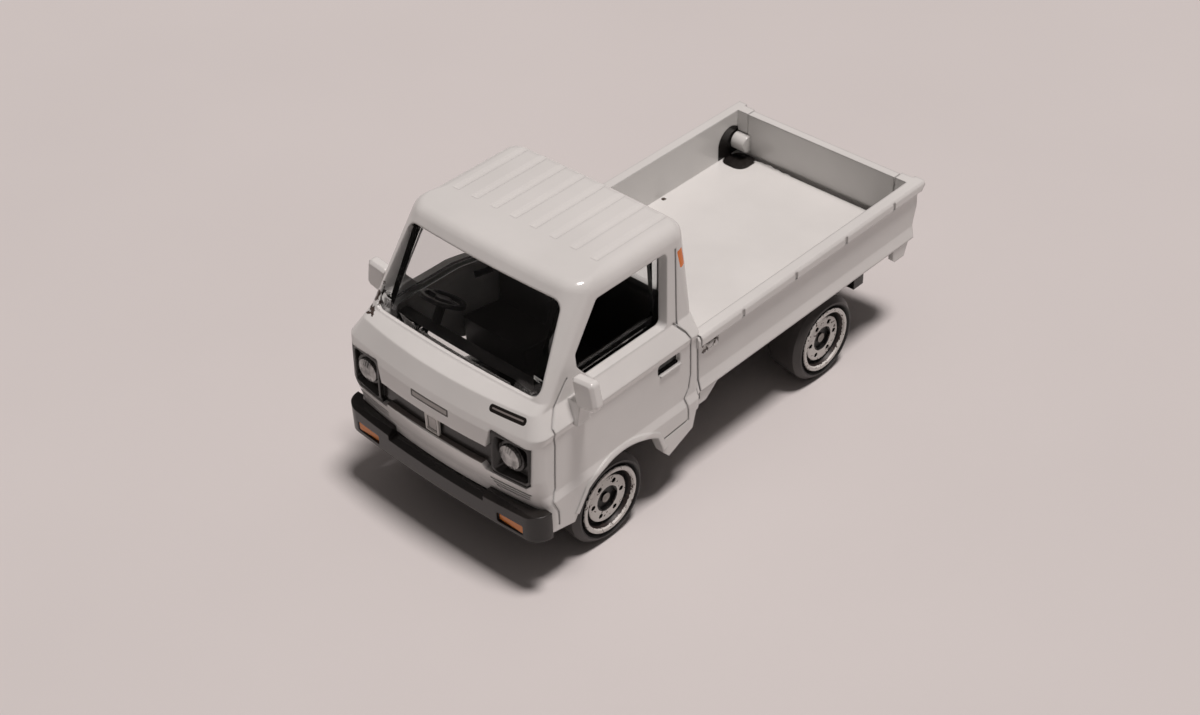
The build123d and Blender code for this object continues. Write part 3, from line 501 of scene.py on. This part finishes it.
# Axles: plain drawn steel rods, pressed into the wheels. The lines that drawing leaves are far
# finer on the real rod. They run round it here, coarse enough to break up its shine.
line_width = 0.2
line_depth = 0.01
steel, shader = new_material("drawn_steel", "8D8A86", Roughness=0.34, Metallic=1.0)
spots = add_node(steel, "ShaderNodeTexCoord")
lines = add_node(
    steel,
    "ShaderNodeTexWave",
    {"Scale": 1 / (line_width * mm) / wave_repeats, "Distortion": 2},
    {"Vector": (spots, "Object")},
    bands_direction="X",
)
bump = add_node(
    steel, "ShaderNodeBump", {"Strength": 0.3, "Distance": line_depth * mm}, {"Height": (lines, 0)}
)
feed(steel, shader, "Normal", bump)
layer = mottle(steel, spots, 0.6, "77736F", "9B9894")
feed(steel, shader, "Base Color", layer)
for name in ("axle_front", "axle_rear"):
    finish_node(name, steel)

# Badge plate: a small plain plate of white plastic, set upright in the middle of the grille
# strip. Its rim stands proud of a sunken grey face.
badge_width = 1.75
badge_height = 2.0
badge_depth = 0.34
badge_front = -28.98
badge_z = 13.92


def sink_face(piece, outward, rim, drop):
    """Insets the faces that look outward by a rim, and pushes them in, in millimetres."""
    bpy.ops.object.mode_set(mode="EDIT")
    bpy.ops.mesh.select_mode(type="FACE")
    bpy.ops.mesh.select_all(action="DESELECT")
    bpy.ops.object.mode_set(mode="OBJECT")
    for face in piece.data.polygons:
        face.select = face.normal.dot(Vector(outward)) > 0.9
    bpy.ops.object.mode_set(mode="EDIT")
    bpy.ops.mesh.inset(thickness=rim * mm, depth=0)
    push = [-part * drop * mm for part in outward]
    bpy.ops.mesh.extrude_region_move(TRANSFORM_OT_translate={"value": push})
    bpy.ops.object.mode_set(mode="OBJECT")


def round_over(piece, width, segments):
    """Bevels the sharp edges by a width in millimetres, and shades what is left smooth."""
    soften = piece.modifiers.new("soften", "BEVEL")
    soften.width = width * mm
    soften.segments = segments
    soften.limit_method = "ANGLE"
    bpy.ops.object.modifier_apply(modifier="soften")
    bpy.ops.object.shade_smooth_by_angle(angle=radians(35))


bpy.ops.object.select_all(action="DESELECT")
bpy.ops.mesh.primitive_cube_add(
    size=1, location=(0, (badge_front + badge_depth / 2) * mm, badge_z * mm)
)
badge = bpy.context.object
badge.name = "badge_plate"
badge.scale = (badge_width * mm, badge_depth * mm, badge_height * mm)
bpy.ops.object.transform_apply(location=True, rotation=True, scale=True)
sink_face(badge, (0, -1, 0), rim=0.2, drop=0.12)
round_over(badge, width=0.05, segments=2)

# White moulded plate: a pale rim, a printed dark line inside it, and a dull grey field
plate, shader = new_material("white_moulded_plate", "DCD9D5", Roughness=0.3, IOR=1.5)
spots = add_node(plate, "ShaderNodeTexCoord")
round_edges(plate, shader, spots, radius=0.05, wave=0.4, depth=0.006)
layer = mottle(plate, spots, 0.7, "D6D3CF", "DFDCD8")
output = 0
for border, colour in ((0.5, "2B2827"), (0.75, "B3AFAB")):
    field = patch(
        plate,
        spots,
        (0, badge_front, badge_z),
        (badge_width - border, 1, badge_height - border),
        corner=0.05,
    )
    layer = lay_over(plate, layer, field, colour, output)
    output = 2
feed(plate, shader, "Base Color", layer, output)
badge.data.materials.append(plate)
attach(badge, "root")

# Casting flash: a thin, ragged fin of zinc left along the rear edge of the bed's floor, under
# the same enamel as the body.
flash_left = -8.3
flash_right = -3.2
flash_steps = 48
flash_depth = 0.3
flash_thickness = 0.18
flash_taper = 0.8
flash_root = 0.1
flash_least = 0.02
flash_top = 11.78
floor_edge = 27.2
bpy.ops.object.select_all(action="DESELECT")
bpy.ops.mesh.primitive_cube_add(
    size=1,
    location=(
        (flash_left + flash_right) / 2 * mm,
        (floor_edge - flash_root) * mm,
        (flash_top - flash_thickness / 2) * mm,
    ),
)
flash = bpy.context.object
flash.name = "casting_flash"
flash.scale = ((flash_right - flash_left) * mm, flash_depth * mm, flash_thickness * mm)
bpy.ops.object.transform_apply(location=True, rotation=True, scale=True)
for number in range(1, flash_steps):
    cut = flash_left + (flash_right - flash_left) * number / flash_steps
    bpy.ops.object.mode_set(mode="EDIT")
    bpy.ops.mesh.select_all(action="SELECT")
    bpy.ops.mesh.bisect(plane_co=(cut * mm, 0, 0), plane_no=(1, 0, 0))
    bpy.ops.object.mode_set(mode="OBJECT")

# Its free edge wanders by two waves of unlike lengths, and dies away at both ends
for point in flash.data.vertices:
    if point.co.y > floor_edge * mm:
        along = point.co.x / mm
        ragged = 0.5 + 0.3 * sin(1.7 * along) + 0.2 * sin(4.9 * along + 1)
        fade = min(1, (along - flash_left) / flash_taper, (flash_right - along) / flash_taper)
        reach = flash_depth * ragged * max(fade, 0)
        point.co.y = (floor_edge + flash_least + reach) * mm
bpy.ops.object.shade_smooth_by_angle(angle=radians(40))
flash.data.materials.append(enamel)
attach(flash, "root")

# Rivets: the casting's own posts come through the base, and each end is spun over into a
# round head of bare zinc with a dimple. The tool's marks leave it dull and uneven.
rivet_bottom = 2.7
rivet_radius = 1.5
rivet_height = 0.4
rivet_seat = 0.05
zinc, shader = new_material("spun_zinc", "A3A19E", Roughness=0.4, Metallic=1.0)
spots = add_node(zinc, "ShaderNodeTexCoord")
round_edges(zinc, shader, spots, radius=0.08, wave=0.25, depth=0.02)
layer = mottle(zinc, spots, 0.5, "8C8A87", "B3B1AE")
feed(zinc, shader, "Base Color", layer)
for name, rivet_y in (("rivet_front", -3.0), ("rivet_rear", 21.0)):
    bpy.ops.object.select_all(action="DESELECT")
    bpy.ops.mesh.primitive_cylinder_add(
        vertices=48,
        radius=rivet_radius * mm,
        depth=rivet_height * mm,
        location=(0, rivet_y * mm, (rivet_bottom - rivet_height / 2 + rivet_seat) * mm),
    )
    rivet = bpy.context.object
    rivet.name = name
    bpy.ops.object.transform_apply(location=True, rotation=True, scale=True)
    sink_face(rivet, (0, 0, -1), rim=0.7, drop=0.18)
    round_over(rivet, width=0.12, segments=3)
    rivet.data.materials.append(zinc)
    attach(rivet, "root")

# Table and light: a plain pale matt top, one broad lamp almost straight above, and a dim room
# that is brighter overhead than at the horizon.
table_size = 30
lamp_direction = Vector((0.18, 0.09, 1)).normalized()
lamp_strength = 2.38
lamp_width = 13
lamp_colour = (1, 0.93, 0.905)
room_low = 0.03
room_high = 0.17
room_colour = (1, 0.9, 0.86, 1)
bpy.ops.object.select_all(action="DESELECT")
bpy.ops.mesh.primitive_plane_add(size=table_size, location=(0, 0, 0))
table = bpy.context.object
table.name = "table_top"
matt, shader = new_material("matt_table_top", "DAD5D4", Roughness=0.8)
spots = add_node(matt, "ShaderNodeTexCoord")
layer = mottle(matt, spots, 60, "D9D4D3", "DCD7D6")
feed(matt, shader, "Base Color", layer)
table.data.materials.append(matt)

bpy.ops.object.light_add(type="SUN", location=lamp_direction)
lamp_light = bpy.context.object
lamp_light.rotation_euler = lamp_direction.to_track_quat("Z", "Y").to_euler()
lamp_light.data.energy = lamp_strength
lamp_light.data.angle = radians(lamp_width)
lamp_light.data.color = lamp_colour

world = bpy.data.worlds.new("room")
world.use_nodes = True
bpy.context.scene.world = world
background = world.node_tree.nodes["Background"]
sky = add_node(world, "ShaderNodeTexCoord")
height = add_node(world, "ShaderNodeSeparateXYZ", links={0: (sky, "Generated")})
rise = add_node(
    world,
    "ShaderNodeMapRange",
    {"From Min": 0.1, "From Max": 1, "To Min": room_low, "To Max": room_high},
    {"Value": (height, 2)},
)
feed(world, background, "Strength", rise)
background.inputs["Color"].default_value = room_colour

bpy.context.scene.view_settings.view_transform = "Standard"
